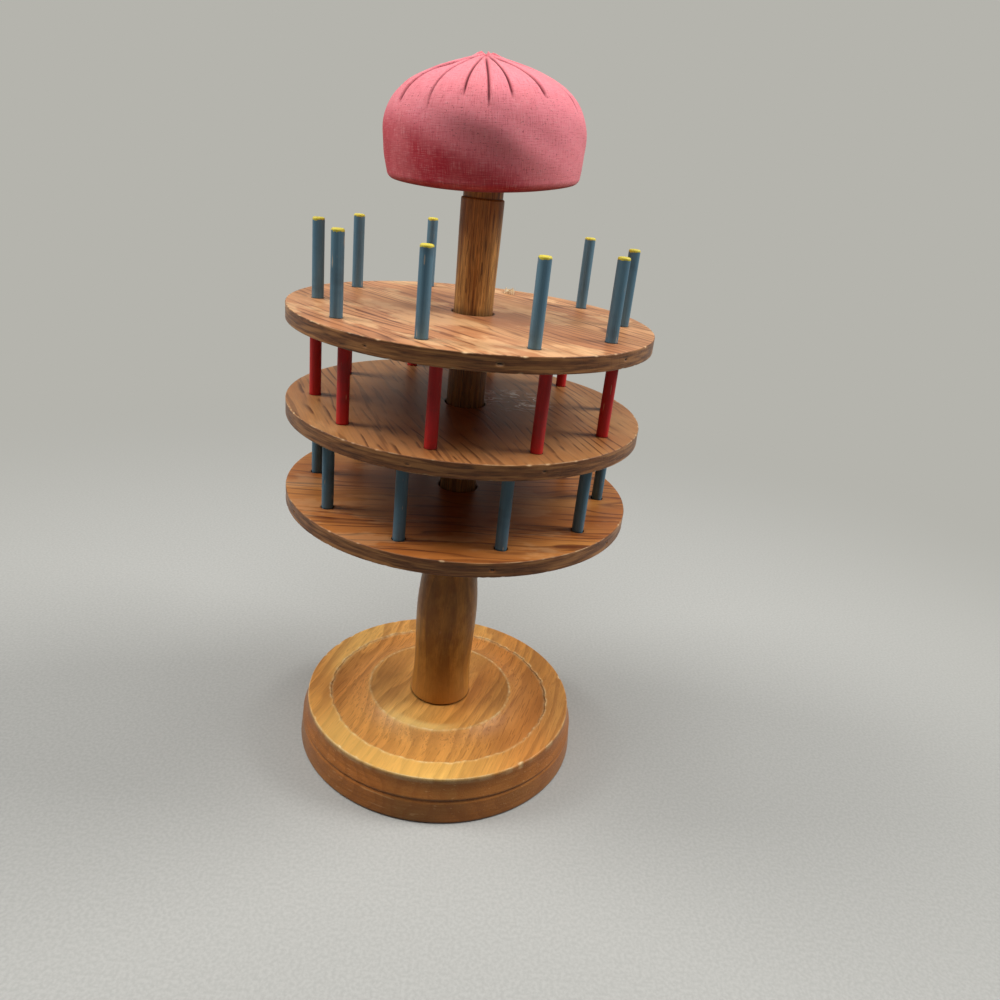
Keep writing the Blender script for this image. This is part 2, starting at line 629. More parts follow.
def cushion_cloth():
    """Pink plain-weave cotton, faded over the crown and stronger low down, with slubs and dark flecks."""
    material, shader, here = finish("pink cotton", Sheen_Weight=0.28, Sheen_Roughness=0.45,
                                    Sheen_Tint=linear(255, 200, 205), Specular_IOR_Level=0.15)
    x, _, z = parts(here)
    flat = wire(here.tree, "ShaderNodeUVMap", uv_map="cloth")
    weave = use(WEAVE, flat, Pitch=0.00034)
    slub = weave["Slub"]
    faded = ease(x * 0.34 + z, COVER_LOW[2] + 2 * MM, COVER_LOW[2] + 19 * MM)
    blotches = ease(noise(here, 60.0, 4.0, 0.6), 0.34, 0.66)
    colour = coats(linear(206, 54, 70), (faded, linear(255, 148, 161)),
                   (blotches * 0.45, linear(246, 140, 146)),
                   (ease(slub, 0.50, 0.64, 0.0, 0.40), linear(255, 184, 188)),
                   (ease(slub, 0.38, 0.48, 0.35, 0.0), linear(176, 52, 68)),
                   (weave["Fleck"] * ease(faded, 0.0, 1.0, 0.35, 0.6), linear(112, 46, 54)),
                   (ease(weave["Height"], 0.05, 0.5, 0.25, 0.0), linear(150, 40, 56)),
                   (painted(here, "crease") * 0.95, linear(80, 8, 26)))
    threads = bump(weave["Height"], 0.25, 0.08 * MM)
    feed(shader, {"Base Color": colour, "Roughness": ease(slub, 0.3, 0.7, 0.95, 0.85),
                  "Normal": bump(slub, 0.5, 0.30 * MM, Normal=threads)})
    return material


# Pieces worked out as surfaces


def put_mesh(name, points, faces, material):
    """A mesh object at the origin from an array of points and a list of faces, shaded smooth."""
    mesh = bpy.data.meshes.new(name)
    mesh.from_pydata(np.reshape(points, (-1, 3)).tolist(), [], faces)
    mesh.polygons.foreach_set("use_smooth", np.ones(len(mesh.polygons), bool))
    mesh.materials.append(material)
    mesh.update()
    made = bpy.data.objects.new(name, mesh)
    bpy.context.scene.collection.objects.link(made)
    return made


def paint(piece, **values):
    """Keeps worked-out values on a piece's points, for its material to read."""
    for name, value in values.items():
        layer = piece.data.attributes.new(name, "FLOAT", "POINT")
        layer.data.foreach_set("value", np.asarray(value, np.float32).ravel())


def ring_parts(rows, around):
    """Quads between rings of points, each ring closed on itself, and the two fans to a pole at either end.

    The points are rows times around, row by row, then the first pole and the last pole.
    """
    row, col = np.meshgrid(np.arange(rows - 1), np.arange(around), indexing="ij")
    here = row * around + col
    beside = row * around + (col + 1) % around
    quads = np.stack([here, here + around, beside + around, beside], axis=-1).reshape(-1, 4)
    col = np.arange(around)
    first, last = rows * around, rows * around + 1
    start = np.stack([np.full(around, first), col, (col + 1) % around], axis=-1)
    tail = (rows - 1) * around
    end = np.stack([tail + (col + 1) % around, tail + col, np.full(around, last)], axis=-1)
    return quads, np.concatenate([start, end])


def ring_faces(rows, around):
    """The quads and the fans of ring_parts as one list."""
    quads, fans = ring_parts(rows, around)
    return quads.tolist() + fans.tolist()


def loop_faces(rows, around):
    """Quads between rings of points, where the last ring joins the first: a surface closed both ways."""
    row, col = np.meshgrid(np.arange(rows), np.arange(around), indexing="ij")
    below, beside = (row + 1) % rows, (col + 1) % around
    quads = np.stack([row * around + col, below * around + col, below * around + beside,
                      row * around + beside], axis=-1)
    return quads.reshape(-1, 4).tolist()


def circle(around):
    """The angles of a closed ring of points."""
    return np.linspace(0, 2 * np.pi, around, endpoint=False)


def turned(radius, height, angle):
    """Points of a surface of revolution whose radius and height may also change with the angle."""
    radius, height, angle = np.broadcast_arrays(radius, height, angle)
    return np.stack([radius * np.cos(angle), radius * np.sin(angle), height], axis=-1)


def bell(away, width):
    """A bell curve: 1 in the middle, and 1/e at the width."""
    return np.exp(-(away / width) ** 2)


def turn_between(angle, other):
    """The angle from another direction to this one, from minus half a turn to half a turn."""
    return (angle - other + np.pi) % (2 * np.pi) - np.pi


def waves(angle, counts, seed):
    """A smooth closed ripple from -1 to 1: sines of whole counts with seeded phases."""
    phases = np.random.default_rng(seed).uniform(0, 2 * np.pi, len(counts))
    return sum(np.sin(count * angle + phase) for count, phase in zip(counts, phases)) / len(counts)


def ragged(angle, teeth, seed):
    """A jagged closed line from -1 to 1: straight stretches between seeded heights at uneven angles."""
    random = np.random.default_rng(seed)
    at = (np.arange(teeth) + random.uniform(-0.35, 0.35, teeth)) * 2 * np.pi / teeth
    return np.interp(angle, at, random.uniform(-1, 1, teeth), period=2 * np.pi)


def chips(angle, radius, count, seed, widest, deepest):
    """Knocked places along an edge: the deepest of some raised cosines with seeded places and sizes."""
    random = np.random.default_rng(seed)
    size = random.uniform(0.15, 1, count) ** 1.6
    at = random.uniform(0, 2 * np.pi, count)
    away = np.abs(turn_between(angle[None, :], at[:, None])) * radius
    share = np.clip(away / (widest * (0.25 + 0.75 * size))[:, None], 0, 1)
    return np.max(deepest * size[:, None] * (0.5 + 0.5 * np.cos(np.pi * share)) ** 0.6, axis=0)


# Voids in each disc's edge: direction in degrees, share of the thickness, length, height and depth in mm
VOIDS = {
    "top": [(-82, 0.50, 2.6, 0.55, 0.7), (-118, 0.46, 1.2, 0.35, 0.4), (-41, 0.53, 1.6, 0.4, 0.5),
            (63, 0.5, 2.2, 0.5, 0.6), (171, 0.45, 1.4, 0.4, 0.5)],
    "middle": [(-66, 0.52, 1.6, 0.45, 0.5), (-104, 0.47, 1.3, 0.35, 0.4), (28, 0.5, 2.1, 0.5, 0.6),
               (122, 0.48, 1.5, 0.4, 0.5)],
    "bottom": [(-78, 0.50, 2.2, 0.55, 0.7), (-33, 0.46, 1.3, 0.4, 0.5), (88, 0.5, 1.8, 0.45, 0.5),
               (-150, 0.52, 1.7, 0.4, 0.5)],
}
DISC_SEEDS = {"top": 3, "middle": 14, "bottom": 25}
PEG_GAPS = {"top": 0.12 * MM, "middle": 0.12 * MM, "bottom": 0.45 * MM}
DISC_AROUND = 900
# The radius of a disc's unchipped arris, and how far inside its edge the rings of the flat faces end
ARRIS, FACE_EDGE = 0.40 * MM, 1.3 * MM


def make_disc(tier):
    """A plywood disc: flat faces, arrises rounded by 0.4 mm and more where they are chipped, an edge with
    shallow glue lines and small voids, and a loose hole.

    Round the circle the arris radius is 0.4 mm plus the chips, and the edge's radius sinks at the glue lines
    and at each void by a bell curve of the direction and the height. The ten blind holes are cut last.
    """
    material, seed = plywood(tier), DISC_SEEDS[tier]
    angle = circle(DISC_AROUND)
    low, high, reach = DISC_LOW[tier], DISC_TOP[tier], DISC_RADIUS
    inner = HOLE_RADIUS + 0.35 * MM
    knocked = [chips(angle, reach, 40, seed + side, 1.8 * MM, 0.5 * MM) for side in (0, 1)]
    line = [ragged(angle, 260, seed + 2 + side) + 0.9 * ragged(angle, 17, seed + 4 + side) - 0.25
            for side in (0, 1)]
    line = np.clip(line, 0, 1)
    arris = [ARRIS + depth for depth in knocked]
    bare = [np.clip(depth / (0.30 * MM) - 0.5, 0, 1) for depth in knocked]

    def face(height, shares):
        return [(inner + (reach - FACE_EDGE - inner) * t, height, 0.0) for t in shares]

    def rounding(side, height, up, start, stop, strength):
        worn = np.maximum(bare[side], strength * line[side])
        return [(reach - arris[side] * (1 - math.cos(a)), height - up * arris[side] * (1 - up * math.sin(a)),
                 worn * bell(number - 3, 1.6))
                for number, a in enumerate(np.radians(np.linspace(start, stop, 7)))]

    # Each row is its radius, its height and its wear
    rows = face(high, (0, 0.004, 0.02, 0.10, 0.25, 0.45, 0.65, 0.82, 0.93, 0.985))
    rows += rounding(0, high, 1, 90, 0, 0.8)
    rows += [(reach - 0.03 * MM, high - arris[0] + (arris[0] + arris[1] - (high - low)) * t, 0.0)
             for t in np.linspace(0, 1, 18)[1:-1]]
    rows += rounding(1, low, -1, 0, -90, 0.9)
    rows += face(low, (0.985, 0.93, 0.8, 0.6, 0.4, 0.2, 0.02, 0.004, 0))
    rows += [(HOLE_RADIUS, low + (high - low) * t, 0.0) for t in (0.06, 0.35, 0.65, 0.94)]
    radius, height, wear = (np.array([np.broadcast_to(value, angle.shape) for value in column])
                            for column in zip(*rows))

    share = (height - low) / (high - low)
    edge = np.clip((radius - reach + 0.4 * MM) / (0.3 * MM), 0, 1)
    grooves = sum(bell(share - glue, 0.03) for glue in GLUE_AT)
    ripple = waves(angle, [21, 34, 55, 89], seed) * np.sin(share * 19)
    dirt = np.zeros_like(radius)
    for way, level, long, tall, deep in VOIDS[tier]:
        aside = turn_between(angle, math.radians(way)) * reach
        hollow = np.exp(-(aside / (0.5 * long * MM)) ** 4
                        - ((height - low - level * (high - low)) / (tall * MM)) ** 2)
        radius = radius - edge * hollow * deep * MM
        dirt = np.maximum(dirt, edge * np.clip(hollow * 1.6 - 0.3, 0, 1))
    radius = radius - edge * (0.04 * MM * grooves + 0.03 * MM * ripple)
    made = put_mesh(f"{tier}_plywood", turned(radius, height, angle), loop_faces(len(radius), DISC_AROUND),
                    material)
    paint(made, wear=wear, dirt=dirt)
    drill(made, tier, PEG_RADIUS + PEG_GAPS[tier])
    made.data.set_sharp_from_angle(angle=math.radians(35))
    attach(made, f"{tier}_tier")
    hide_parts(f"{tier}_disc")


def drill(piece, tier, radius):
    """Cuts the blind holes of a tier's pegs: closed cylinders on the ring of pegs, taken away exactly."""
    around = 40
    way = np.radians(TURN[tier] + np.arange(PEGS_PER_TIER) * 360 / PEGS_PER_TIER)
    ends = np.array([DISC_TOP[tier] + 1 * MM, DISC_TOP[tier] - PEG_SEAT])
    walls = turned(radius, ends[:, None], circle(around)).reshape(-1, 3)
    bit = np.concatenate([walls, turned(0.0, ends, 0.0)])
    points = turned(PEG_RING, 0.0, way)[:, None] + bit
    start = np.arange(PEGS_PER_TIER)[:, None, None] * len(bit)
    quads, fans = ring_parts(2, around)
    faces = (start + quads).reshape(-1, 4).tolist() + (start + fans).reshape(-1, 3).tolist()
    cutter = put_mesh("drill", points, faces, piece.data.materials[0])
    cut = piece.modifiers.new("drill", "BOOLEAN")
    cut.operation, cut.solver, cut.object = "DIFFERENCE", "EXACT", cutter
    graph = bpy.context.evaluated_depsgraph_get()
    holed = bpy.data.meshes.new_from_object(piece.evaluated_get(graph))
    piece.modifiers.clear()
    piece.data = holed
    bpy.data.objects.remove(cutter)


BASE_AROUND = 700
# The base's edges that tore on the lathe: radius, how far the tear shifts it in mm, the lip's width in mm,
# the number of teeth, the seed, and how much of the edge the lip covers
TORN_EDGES = ((RIM_INNER, 1.0, 0.70, 150, 8, 0.35), (RIDGE_RADIUS, 0.45, 0.50, 110, 9, 0.20))


def base_profile():
    """The base's outline as radius and height in mm, from the socket's floor to the middle of the underside.

    The dish rises with the 1.8th power, the cove sinks by a half sine, and the side is a sloping line with a
    half sine taken out and a quirk of a squared half sine.
    """
    line, sine = np.linspace, lambda t: math.sin(math.pi * t)
    profile = [(0.5, 8.4), (8.6, 8.4), (9.5, 8.45), (9.54, 8.6), (9.54, 22.7), (9.6, 22.88), (9.75, 22.9)]
    profile += [(r, 22.9) for r in line(10.4, 15.7, 5)]
    profile += [(15.7 + 20.2 * t, 22.9 + 2 * t ** 1.8) for t in line(0, 1, 22)[1:-1]]
    profile += [(r, 24.9) for r in line(35.45, 36.35, 6)]
    profile += [(55 - 19.1 * t + 0.45 * t ** 6, 21.8 + 3.1 * t - 2.2 * sine(t)) for t in line(1, 0, 34)[1:]]
    profile += [(54.7, 21.85), (54.85, 22.0), (54.95, 22.15), (55.05, 22.28)]
    profile += [(r, 22.3 + 0.8 * (r - 55) / 10.8) for r in (55.3, 55.6, 56.0, 56.6, 58, 60, 62, 64, 65.4)]
    profile += [(65.8 + 0.7 * math.cos(a), 22.4 + 0.7 * math.sin(a)) for a in np.radians(line(90, 15, 8))]
    profile += [(68.74 - 2.24 * t - 0.6 * sine(t), 13.2 + 9.2 * t) for t in line(1, 0, 16)[1:]]
    profile += [(68.74 + 0.12 * t - 0.55 * sine(t) ** 2, 13.2 - 2.6 * t) for t in line(0, 1, 13)[1:]]
    profile += [(68.86 + 0.84 * t, 10.6 - 9.4 * t) for t in line(0, 1, 9)[1:]]
    profile += [(68.5 + 1.2 * math.cos(a), 1.2 + 1.2 * math.sin(a)) for a in np.radians(line(0, -90, 7))[1:]]
    return profile + [(60, 0), (40, 0), (20, 0), (0.5, 0)]


def make_base():
    """The turned base as one lathe surface, from the socket's floor over the dish, the ridge, the cove and
    the rim, down the side with its quirk, and in under the foot.

    Where the rim and the ridge are torn, the line shifts in and out by a jagged closed line and stands up in
    a thin lip.
    """
    angle = circle(BASE_AROUND)
    plain_r, plain_z = np.array(base_profile()).T[:, :, None] * MM
    upper = (plain_z > 20 * MM).astype(float)
    radius, height = (np.repeat(plain, BASE_AROUND, axis=1) for plain in (plain_r, plain_z))
    wear = np.zeros_like(radius)
    for at, shift, width, teeth, seed, cover in TORN_EDGES:
        jagged = 0.6 * ragged(angle, teeth, seed) + 0.4 * ragged(angle, teeth // 4, seed + 20)
        radius = radius + shift * MM * upper * bell(plain_r - at, 1.6 * MM) * jagged
        torn = np.clip(ragged(angle, teeth * 2, seed + 40) + cover, 0, 1)
        lip = upper * bell(plain_r - at, width * MM)
        height = height + 0.16 * MM * lip * torn
        wear = np.maximum(wear, lip * (0.35 + 0.65 * torn) * (0.75 + 0.25 * jagged))
    rim = upper * bell(plain_r - RIM_RADIUS + 0.4 * MM, 0.5 * MM)
    knocked = chips(angle, RIM_RADIUS, 22, 31, 2.2 * MM, 0.45 * MM)
    radius = radius - rim * knocked
    height = height - 0.6 * rim * knocked
    thin_line = bell(plain_r - RIM_RADIUS + 0.15 * MM, 0.22 * MM) * upper
    rubbed = np.clip(0.15 + 0.5 * ragged(angle, 130, 12) + 0.4 * np.cos(angle + math.radians(115)), 0, 0.6)
    wear = np.maximum(wear, rim * np.clip(knocked / (0.3 * MM) - 0.3, 0, 0.8))
    wear = np.maximum(wear, thin_line * rubbed)
    poles = [[0, 0, 8.4 * MM], [0, 0, 0]]
    points = np.concatenate([turned(radius, height, angle).reshape(-1, 3), poles])
    made = put_mesh("turned_base", points, ring_faces(len(radius), BASE_AROUND), turned_base())
    paint(made, wear=np.concatenate([wear.ravel(), [0, 0]]))
    made.data.set_sharp_from_angle(angle=math.radians(40))
    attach(made, "stand")
    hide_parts("base")


# The cushion, which leans to the left and whose right side stands higher

CUSHION_X = (COVER_LOW[0] + COVER_HIGH[0]) / 2 + 1.4 * MM
CUSHION_RADIUS = 39.4 * MM
HEM_Z = 265.25 * MM
WIDE_Z = HEM_Z + 17.75 * MM
CROWN_RISE = 25.5 * MM
CROWN_POWER = 2.52
PEAK_RISE = 4.6 * MM
GATHER_FORWARD = 3.5 * MM
DRAW_IN = 1.2 * MM
CORNER = 3.2 * MM
SIDE_SAG = 3.25 * MM
LEAN = math.radians(3.74)
LEAN_Z = (BOARD_LOW[2] + BOARD_HIGH[2]) / 2
HEM_OPENING = 24.0 * MM
CLOTH_THICK = 1.1 * MM
SWELL_CAP, SETTLE_STEPS = 1.6 * MM, 20
BOARD_RADIUS, BOARD_THICK, BOARD_BORE = 28.0 * MM, 5.0 * MM, 4.9 * MM
CROWN_ROWS, SIDE_ROWS, CORNER_ROWS, HEM_ROWS, INNER_ROWS = 84, 18, 12, 12, 24
CUSHION_AROUND, TRIAL_AROUND = 640, 112

# Each crease: its direction near the gather and at its end, its end as a share of the radius, its depth
CREASES = [
    (-92, -88, 0.97, 1.0), (-86, -75, 0.93, 0.9), (-74, -53, 0.91, 1.0), (-98, -102, 0.93, 0.8),
    (-108, -146, 0.95, 1.7), (-116, -122, 0.98, 0.55), (-108, -166, 0.85, 0.7), (-50, -25, 0.97, 0.55),
    (-42, -8, 0.84, 0.6), (-14, 14, 0.91, 0.55), (14, 31, 0.70, 0.4), (44, 61, 0.93, 0.85),
    (66, 88, 0.78, 0.35), (98, 106, 0.93, 0.6), (126, 133, 0.72, 0.4), (148, 157, 0.91, 0.7),
    (172, 186, 0.80, 0.45),
]
CREASE_START = 0.08
CREASE_DEPTH, CREASE_WIDTH = 1.0 * MM, 0.54 * MM
LIP_WIDTH, LIP_AWAY = 2.4 * MM, 0.8 * MM
FRONT = -90


def cushion_outline():
    """The cover's outline as arrays of radius and height, from the gather down to the hem's edge.

    The crown is a superellipse with a peak that fades with the cube of the distance, the side a parabola
    that draws in, the lower corner an arc, and the hem a straight line in under the board.
    """
    reach, power = CUSHION_RADIUS, 2 / CROWN_POWER
    a = np.radians(np.linspace(1.5, 88.0, CROWN_ROWS))
    crown_r = reach * np.sin(a) ** power
    crown_z = WIDE_Z + CROWN_RISE * np.cos(a) ** power + PEAK_RISE * (1 - crown_r / reach) ** 3
    corner_z, corner_r = HEM_Z + CORNER, reach - DRAW_IN - CORNER
    t = np.linspace(0, 1, SIDE_ROWS)
    side_r, side_z = reach - DRAW_IN * t ** 2, WIDE_Z - (WIDE_Z - corner_z) * t
    a = np.radians(np.linspace(-8, -90, CORNER_ROWS))
    hem_r = corner_r + (HEM_OPENING - corner_r) * np.linspace(0.08, 1, HEM_ROWS)
    radius = np.concatenate([crown_r, side_r, corner_r + CORNER * np.cos(a), hem_r])
    height = np.concatenate([crown_z, side_z, corner_z + CORNER * np.sin(a), np.full(HEM_ROWS, HEM_Z)])
    return radius, height


def tipped(x, y, z):
    """Points turned by the cushion's lean, about the middle of its board."""
    z = z - LEAN_Z
    return np.stack([x * math.cos(LEAN) - z * math.sin(LEAN), y,
                     z * math.cos(LEAN) + x * math.sin(LEAN) + LEAN_Z], axis=-1)


def leant(points):
    """The side's lower edge rises with the square of X, and the whole then tips and moves to its place."""
    x, y, z = np.moveaxis(points, -1, 0)
    lower = 1 - np.clip((z - HEM_Z) / (WIDE_Z - HEM_Z), 0, 1)
    return tipped(x, y, z + SIDE_SAG * (x / CUSHION_RADIUS) ** 2 * lower) + [CUSHION_X, 0, 0]


def cushion_points(radius, height, angle):
    """The outline carried round the cushion, with the crown's middle moved forward to the gather."""
    share = np.clip(radius / CUSHION_RADIUS, 0, 1)
    forward = np.where(height > WIDE_Z, GATHER_FORWARD * (1 - share) ** 1.2, 0.0)
    points = turned(radius[:, None], height[:, None], angle)
    points[..., 1] -= forward[:, None]
    return points


def resampled(grid, rows, columns):
    """Values of a closed coarse grid at fractional rows and columns, as a mix of the nearest four."""
    top, left = np.clip(np.floor(rows).astype(int), 0, len(grid) - 2), np.floor(columns).astype(int)
    down, across = (rows - top)[:, None, None], (columns - left)[None, :, None]
    left, right = left % grid.shape[1], (left + 1) % grid.shape[1]
    upper = grid[top][:, left] * (1 - across) + grid[top][:, right] * across
    lower = grid[top + 1][:, left] * (1 - across) + grid[top + 1][:, right] * across
    return upper * (1 - down) + lower * down


def settled(start, rows):
    """Where a trial piece of cloth, closed with two poles, comes to rest under pressure.

    The gather and the hem are pinned, and gravity is off.
    """
    flat = start.reshape(-1, 3)
    poles = [flat[:TRIAL_AROUND].mean(axis=0), [0, 0, HEM_Z]]
    trial = put_mesh("cushion trial", np.concatenate([flat, poles]), ring_faces(rows, TRIAL_AROUND), CLOTH)
    pinned = trial.vertex_groups.new(name="pinned")
    held = np.r_[0:TRIAL_AROUND * 2, len(flat) - TRIAL_AROUND * 3:len(flat) + 2]
    pinned.add(held.tolist(), 1.0, "REPLACE")
    cloth = trial.modifiers.new("cloth", "CLOTH").settings
    cloth.quality = 6
    cloth.mass = 0.25
    cloth.tension_stiffness = 12
    cloth.compression_stiffness = 12
    cloth.bending_stiffness = 0.6
    cloth.use_pressure = True
    cloth.uniform_pressure_force = 4.0
    cloth.effector_weights.gravity = 0.0
    cloth.vertex_group_mass = "pinned"
    scene = bpy.context.scene
    for step in range(1, SETTLE_STEPS + 1):
        scene.frame_set(step)
    rest = trial.evaluated_get(bpy.context.evaluated_depsgraph_get()).data
    moved = np.zeros(len(rest.vertices) * 3)
    rest.vertices.foreach_get("co", moved)
    scene.frame_set(1)
    bpy.data.objects.remove(trial)
    return moved.reshape(-1, 3)[:-2].reshape(start.shape)


def puffed(radius, height, angle):
    """How far cloth under pressure swells out of the outline, from a trial on a coarser copy.

    The trial starts with small tucks in the crown, and the swelling is capped at 1.6 mm.
    """
    rows = np.unique(np.linspace(0, len(radius) - HEM_ROWS, 40).astype(int))
    coarse = circle(TRIAL_AROUND)
    r, z = radius[rows], height[rows]
    share = np.clip(r / CUSHION_RADIUS, 0, 1)
    tucks = np.where(z > WIDE_Z, np.sin(np.pi * share) ** 0.7 * share ** 0.5, 0)
    plain = cushion_points(r, z, coarse)
    start = plain.copy()
    start[..., 2] += 0.7 * MM * tucks[:, None] * (waves(coarse, [16, 17, 19, 23], 5) - 0.6)
    shift = settled(start, len(rows)) - plain
    size = np.linalg.norm(shift, axis=-1, keepdims=True)
    shift *= np.minimum(1, SWELL_CAP / np.maximum(size, 1e-9))
    row_at = np.interp(np.arange(len(radius)), rows, np.arange(len(rows)))
    return resampled(shift, row_at, angle / (2 * np.pi) * TRIAL_AROUND)


def fold_lines(radius, height, angle):
    """How far each crease sinks and its lips stand, and how dark it is.

    A crease follows a direction that swings with the distance from the gather. Across it, square to its
    run, the cloth sinks by a bell curve between two wider bells, the higher one on the side away from the
    front. A deeper crease is also wider.
    """
    share = np.clip(radius / CUSHION_RADIUS, 0, 1)
    crown = (height > WIDE_Z).astype(float)
    lift, dark = np.zeros((2, len(radius), len(angle)))
    for start, end, stop, depth in CREASES:
        t = np.clip((share - CREASE_START) / (stop - CREASE_START), 0, 1)
        direction = np.radians(end + (start - end) * (1 - t) ** 2.2)
        slant = radius * np.gradient(direction) / np.maximum(np.gradient(radius), 1e-5)
        aside = turn_between(angle, direction[:, None]) * (radius / np.hypot(1, slant))[:, None]
        ends = np.clip(t / 0.25, 0, 1) * np.clip((1 - t) / 0.09, 0, 1) ** 0.8
        strength = (depth * crown * (0.45 + 0.55 * t) * ends)[:, None]
        width = CREASE_WIDTH * (0.6 + 0.4 * depth)
        behind = aside if end > FRONT else -aside
        lip = np.where(behind > 0, bell(behind - LIP_AWAY, LIP_WIDTH),
                       0.35 * bell(behind + LIP_AWAY, LIP_WIDTH))
        lift += strength * CREASE_DEPTH * (0.5 * lip - bell(aside, width))
        dark = np.maximum(dark, np.minimum(1.5 * strength, 1) * bell(aside, 0.85 * width))
    return lift, dark


def make_cushion():
    """The gathered cover: the puffed outline, sharp folded creases that run from the gather, a ruffled
    gather, a pleated hem under the board, and an inner wall one cloth's thickness inside."""
    angle = circle(CUSHION_AROUND)
    radius, height = cushion_outline()
    outer = cushion_points(radius, height, angle)
    outer = outer + puffed(radius, height, angle)

    # Outward direction of the plain outline, for the folds
    slope_r, slope_z = np.gradient(radius), np.gradient(height)
    length = np.hypot(slope_r, slope_z)
    outward = turned((-slope_z / length)[:, None], (slope_r / length)[:, None], angle)

    # Each part of the relief has its own stretch of the outline and its own ripple round it
    r, z = radius[:, None], height[:, None]
    crown = (z > WIDE_Z).astype(float)
    ruffle = waves(angle, [5, 6, 11, 17], 11)
    low_side = CUSHION_RADIUS - 6 * MM
    lift, crease = fold_lines(radius, height, angle)
    lift += bell(r - 3.0 * MM, 2.8 * MM) * crown * 1.0 * MM * ruffle
    crease = np.maximum(crease, bell(r, 2.2 * MM) * crown * np.clip(ruffle * -1.6, 0, 0.8))
    crease = np.maximum(crease, 0.85 * bell(z - HEM_Z, 1.0 * MM) * (r > low_side))
    under = np.clip((low_side - r) / (8 * MM), 0, 1) * (z <= HEM_Z + 0.1 * MM)
    lift += under * 0.35 * MM * waves(angle, [31, 37, 44], 7)
    soft = np.sin(np.pi * np.clip((z - HEM_Z) / (CROWN_RISE + 12 * MM), 0, 1))
    lift += soft * 0.35 * MM * waves(angle, [3, 5, 7, 11], 3)
    lift += soft ** 2 * 0.55 * MM * waves(angle + (z - HEM_Z) / (22 * MM), [2, 4, 6, 9], 21)
    outer = leant(outer + outward * lift[..., None])

    # The inner wall, from the hem's edge back up to the crown
    pick = np.linspace(len(radius) - 1, 0, INNER_ROWS).astype(int)
    plain = cushion_points(radius[pick], height[pick], angle)
    inner = leant(plain - outward[pick] * (CLOTH_THICK + 0.9 * MM * crown[pick])[..., None])
    points = np.concatenate([outer, inner]).reshape(-1, 3)
    poles = np.array([outer[0].mean(axis=0) - [0, 0, 0.5 * MM], inner[-1].mean(axis=0)])
    faces = ring_faces(len(radius) + INNER_ROWS, CUSHION_AROUND)
    made = put_mesh("pincushion_cover", np.concatenate([points, poles]), faces, CLOTH)
    paint(made, crease=np.concatenate([crease.ravel(), np.zeros(INNER_ROWS * CUSHION_AROUND), [0.6, 0.0]]))
    down = np.concatenate([[0], np.cumsum(np.hypot(np.diff(radius), np.diff(height)))])
    lay_cloth(made.data, np.concatenate([down, down[pick]]))
    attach(made, "pincushion")
    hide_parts("cushion_cover", "cushion_stuffing")


def lay_cloth(mesh, down):
    """The cloth's own coordinates: the way round at the widest line, and each row's length down the outline.

    A face that closes the ring counts its last column as one past the end, so that no thread turns back.
    """
    corner = np.zeros(len(mesh.loops), int)
    mesh.loops.foreach_get("vertex_index", corner)
    row, col = np.divmod(corner, CUSHION_AROUND)
    first_pole = len(down) * CUSHION_AROUND
    pole = corner >= first_pole
    row = np.where(pole, np.where(corner == first_pole, 0, len(down) - 1), row)
    sides = np.zeros(len(mesh.polygons), int)
    mesh.polygons.foreach_get("loop_total", sides)
    face_of = np.repeat(np.arange(len(sides)), sides)
    high, low = np.zeros(len(sides), int), np.full(len(sides), CUSHION_AROUND)
    np.maximum.at(high, face_of, np.where(pole, 0, col))
    np.minimum.at(low, face_of, np.where(pole, CUSHION_AROUND, col))
    wraps = (high - low) > CUSHION_AROUND // 2
    col = np.where(wraps[face_of] & (col == 0), CUSHION_AROUND, col)
    uv = np.stack([col / CUSHION_AROUND * 2 * np.pi * CUSHION_RADIUS, down[row]], axis=-1)
    mesh.uv_layers.new(name="cloth").data.foreach_set("uv", uv.ravel())


def make_board():
    """The cushion's round board, leant with the cover: a flat ring with small rounded arrises, closed."""
    around, soft = 128, 0.5 * MM
    low = HEM_Z + CLOTH_THICK + 1.15 * MM
    high = low + BOARD_THICK
    a = np.radians(np.linspace(90, 0, 5))
    arc_r, arc_z = BOARD_RADIUS - soft + soft * np.cos(a), soft * np.sin(a)
    flat_r = np.array([BOARD_BORE, BOARD_BORE + 0.2 * MM, 15 * MM])
    radius = np.concatenate([flat_r, arc_r, arc_r[::-1], flat_r[::-1]])
    height = np.concatenate([[high] * 3, high - soft + arc_z, low + soft - arc_z[::-1], [low] * 3])
    points = tipped(*np.moveaxis(turned(radius[:, None], height[:, None], circle(around)), -1, 0))
    made = put_mesh("cushion_disc", points, loop_faces(len(radius), around),
                    raw_wood("board wood", linear(206, 172, 124), linear(168, 130, 86)))
    made.data.set_sharp_from_angle(angle=math.radians(40))
    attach(made, "pincushion")
    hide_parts("cushion_board")


def make_stump(wood):
    """The broken peg's stump: a dowel whose torn top rises and falls by a jagged closed line on each ring."""
    around, floor = 90, DISC_TOP["top"]
    angle = circle(around)
    x, y, _ = np.mean(box("top_peg_stub"), axis=0)
    share = np.array([0.18, 0.36, 0.54, 0.70, 0.84, 0.94, 1.0, 1.0, 1.0, 0.98])
    crest = floor + 1.1 * MM
    torn = np.stack([ragged(angle, 11 + 2 * row, 50 + row) for row in range(7)]) * 0.9 * MM
    below = [np.full(around, floor + level) for level in (0.1 * MM, -1 * MM, -2 * MM)]
    points = turned(share[:, None] * PEG_RADIUS, np.concatenate([crest + torn, below]), angle) + [x, y, 0]
    poles = [[x, y, crest], [x, y, floor - 2 * MM]]
    made = put_mesh("peg_stump", np.concatenate([points.reshape(-1, 3), poles]),
                    ring_faces(len(share), around), wood)
    made.data.set_sharp_from_angle(angle=math.radians(30))
    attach(made, "top_tier")
    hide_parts("top_peg_stub")


